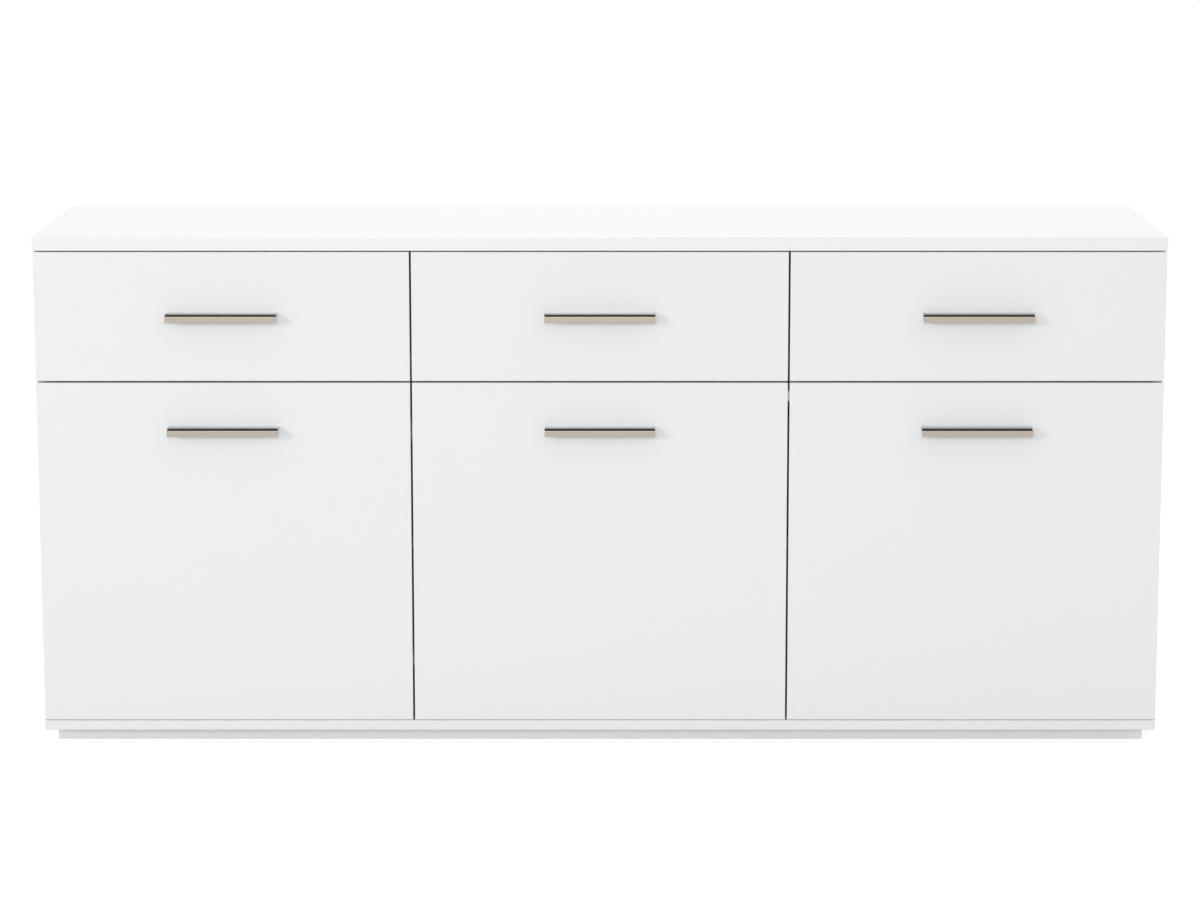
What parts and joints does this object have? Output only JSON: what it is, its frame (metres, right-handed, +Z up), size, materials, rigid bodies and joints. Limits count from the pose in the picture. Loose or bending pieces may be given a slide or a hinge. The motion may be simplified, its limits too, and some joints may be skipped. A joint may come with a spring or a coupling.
{
  "type": "sideboard buffet",
  "caption": "Low white gloss sideboard with full width top and base, a row of drawers over a row of side-hung doors, slim profile handles and a recessed plinth.",
  "frame": {"origin": "on the floor, at the middle of the overall box's footprint, handles included", "axes": "+X to the right seen from the front, -Y out of the doors and drawers, +Z up"},
  "size_m": [1.8, 0.423, 0.83],
  "materials": {
    "gloss_white_front": "high gloss white lacquer film on chipboard",
    "gloss_white_top": "high gloss white lacquer film on chipboard",
    "white_board": "white melamine faced chipboard",
    "raw_chipboard": "raw chipboard",
    "white_hardboard": "thin hardboard, painted white",
    "bright_steel": "nickel plated",
    "white_steel": "white powder coat",
    "white_nylon": "moulded nylon",
    "white_plastic": "moulded",
    "brushed_handle": "brushed, warm stainless tone"
  },
  "bodies": {
    "carcass": {"top_panel": "gloss_white_top", "base_panel": "gloss_white_front", "plinth_front": "white_board", "plinth_back": "white_board", "plinth_ends": "white_board", "side_left": "white_board", "side_right": "white_board", "divider_left": "white_board", "divider_right": "white_board", "floor_boards": "raw_chipboard", "back_panels": "white_hardboard", "shelves": "white_board", "shelf_pins": "bright_steel", "cabinet_runners": "white_steel", "hinge_arms": "bright_steel", "hinge_plates": "bright_steel", "panel_screws": "bright_steel", "magnet_catches": "white_plastic", "cam_fittings": "bright_steel", "base_screws": "bright_steel", "back_nails": "bright_steel"},
    "cabinet_rollers_left": {"cabinet_rollers_left": "white_nylon"},
    "cabinet_rollers_middle": {"cabinet_rollers_middle": "white_nylon"},
    "cabinet_rollers_right": {"cabinet_rollers_right": "white_nylon"},
    "door_left": {"door_left_panel": "gloss_white_front", "door_left_hinge_cups": "bright_steel", "door_left_handle": "brushed_handle", "door_left_fixings": "bright_steel"},
    "door_middle": {"door_middle_panel": "gloss_white_front", "door_middle_hinge_cups": "bright_steel", "door_middle_handle": "brushed_handle", "door_middle_fixings": "bright_steel"},
    "door_right": {"door_right_panel": "gloss_white_front", "door_right_hinge_cups": "bright_steel", "door_right_handle": "brushed_handle", "door_right_fixings": "bright_steel"},
    "drawer_left": {"drawer_left_front": "gloss_white_front", "drawer_left_sides": "white_board", "drawer_left_back": "white_board", "drawer_left_bottom": "white_hardboard", "drawer_left_runners": "white_steel", "drawer_left_handle": "brushed_handle", "drawer_left_fixings": "bright_steel"},
    "drawer_left_rollers": {"drawer_left_rollers": "white_nylon"},
    "drawer_middle": {"drawer_middle_front": "gloss_white_front", "drawer_middle_sides": "white_board", "drawer_middle_back": "white_board", "drawer_middle_bottom": "white_hardboard", "drawer_middle_runners": "white_steel", "drawer_middle_handle": "brushed_handle", "drawer_middle_fixings": "bright_steel"},
    "drawer_middle_rollers": {"drawer_middle_rollers": "white_nylon"},
    "drawer_right": {"drawer_right_front": "gloss_white_front", "drawer_right_sides": "white_board", "drawer_right_back": "white_board", "drawer_right_bottom": "white_hardboard", "drawer_right_runners": "white_steel", "drawer_right_handle": "brushed_handle", "drawer_right_fixings": "bright_steel"},
    "drawer_right_rollers": {"drawer_right_rollers": "white_nylon"}
  },
  "joints": [
    {"name": "door_left_hinge", "type": "hinge", "parent": "carcass", "child": "door_left", "pos_m": [-0.8915, -0.181, 0.31825], "axis": [0, 0, -1], "range_deg": [0, 95]},
    {"name": "door_middle_hinge", "type": "hinge", "parent": "carcass", "child": "door_middle", "pos_m": [-0.2875, -0.181, 0.31825], "axis": [0, 0, -1], "range_deg": [0, 95]},
    {"name": "door_right_hinge", "type": "hinge", "parent": "carcass", "child": "door_right", "pos_m": [0.8915, -0.181, 0.31825], "axis": [0, 0, 1], "range_deg": [0, 95]},
    {"name": "drawer_left_slide", "type": "slide", "parent": "carcass", "child": "drawer_left", "axis": [0, -1, 0], "range_m": [0, 0.265]},
    {"name": "cabinet_rollers_left_turn", "type": "hinge", "parent": "carcass", "child": "cabinet_rollers_left", "pos_m": [-0.6015, -0.151, 0.6285], "axis": [1, 0, 0], "range_deg": [0, 1800]},
    {"name": "drawer_left_rollers_turn", "type": "hinge", "parent": "drawer_left", "child": "drawer_left_rollers", "pos_m": [-0.6015, 0.17, 0.6263], "axis": [1, 0, 0], "range_deg": [0, 1800]},
    {"name": "drawer_middle_slide", "type": "slide", "parent": "carcass", "child": "drawer_middle", "axis": [0, -1, 0], "range_m": [0, 0.265]},
    {"name": "cabinet_rollers_middle_turn", "type": "hinge", "parent": "carcass", "child": "cabinet_rollers_middle", "pos_m": [0, -0.151, 0.6285], "axis": [1, 0, 0], "range_deg": [0, 1800]},
    {"name": "drawer_middle_rollers_turn", "type": "hinge", "parent": "drawer_middle", "child": "drawer_middle_rollers", "pos_m": [0, 0.17, 0.6263], "axis": [1, 0, 0], "range_deg": [0, 1800]},
    {"name": "drawer_right_slide", "type": "slide", "parent": "carcass", "child": "drawer_right", "axis": [0, -1, 0], "range_m": [0, 0.265]},
    {"name": "cabinet_rollers_right_turn", "type": "hinge", "parent": "carcass", "child": "cabinet_rollers_right", "pos_m": [0.6015, -0.151, 0.6285], "axis": [1, 0, 0], "range_deg": [0, 1800]},
    {"name": "drawer_right_rollers_turn", "type": "hinge", "parent": "drawer_right", "child": "drawer_right_rollers", "pos_m": [0.6015, 0.17, 0.6263], "axis": [1, 0, 0], "range_deg": [0, 1800]}
  ],
  "couplings": [
    {"joint": "cabinet_rollers_left_turn", "follows": "drawer_left_slide", "rad_per_m": 117.65},
    {"joint": "drawer_left_rollers_turn", "follows": "drawer_left_slide", "rad_per_m": 117.65},
    {"joint": "cabinet_rollers_middle_turn", "follows": "drawer_middle_slide", "rad_per_m": 117.65},
    {"joint": "drawer_middle_rollers_turn", "follows": "drawer_middle_slide", "rad_per_m": 117.65},
    {"joint": "cabinet_rollers_right_turn", "follows": "drawer_right_slide", "rad_per_m": 117.65},
    {"joint": "drawer_right_rollers_turn", "follows": "drawer_right_slide", "rad_per_m": 117.65}
  ]
}
